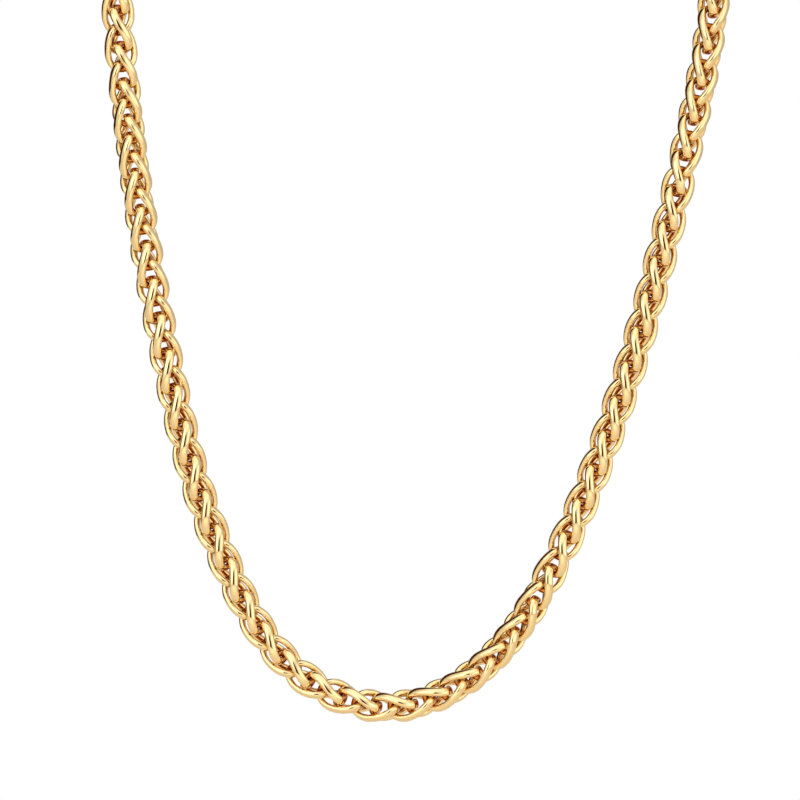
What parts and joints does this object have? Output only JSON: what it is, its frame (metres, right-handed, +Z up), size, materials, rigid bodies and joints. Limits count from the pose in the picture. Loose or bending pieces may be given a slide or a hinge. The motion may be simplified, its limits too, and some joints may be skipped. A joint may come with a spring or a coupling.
{
  "type": "wheat chain necklace",
  "caption": "Closed gold necklace chain of twisted oval links, each threaded through the two before it, hanging as a long loop from a plain barrel clasp.",
  "frame": {"origin": "underside of the middle of the barrel clasp, where the necklace hangs on its hook", "axes": "+Z up, the loop hangs down in the XZ plane, -Y towards the viewer"},
  "size_m": [0.1096, 0.0058, 0.1851],
  "materials": {
    "polished_gold": "polished yellow gold plating"
  },
  "bodies": {
    "root": {"chain_left": "polished_gold", "chain_right": "polished_gold", "clasp": "polished_gold"}
  },
  "joints": []
}
